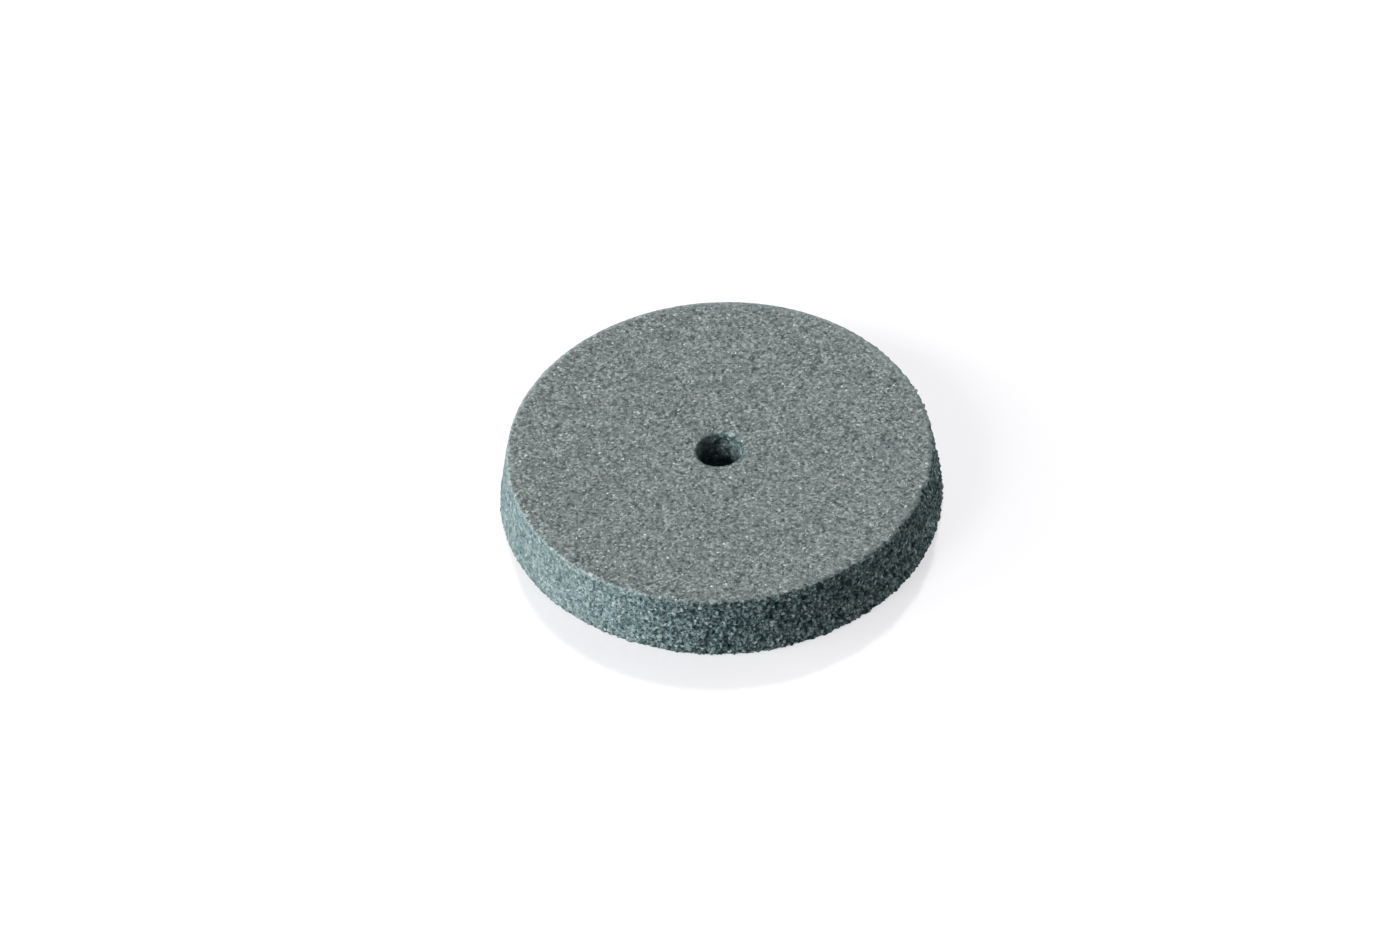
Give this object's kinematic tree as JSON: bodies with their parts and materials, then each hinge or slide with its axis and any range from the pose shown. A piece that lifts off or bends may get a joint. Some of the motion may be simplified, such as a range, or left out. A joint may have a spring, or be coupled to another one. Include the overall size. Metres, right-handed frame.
{
  "type": "grinding wheel",
  "caption": "Small flat grinding wheel: a slightly tapered disc of bonded abrasive grit with a plain bore through its middle, held on a rotary tool's mandrel.",
  "frame": {"origin": "centre of the bore, in the plane of the wide lower face that the wheel lies on", "axes": "+Z along the bore, which is the axis that the wheel spins on, from the wide face to the narrow one; +X and +Y are any two radii at right angles"},
  "size_m": [0.022, 0.022, 0.0031],
  "materials": {
    "bonded_abrasive": "matte"
  },
  "bodies": {
    "root": {"abrasive_wheel": "bonded_abrasive"}
  },
  "joints": []
}
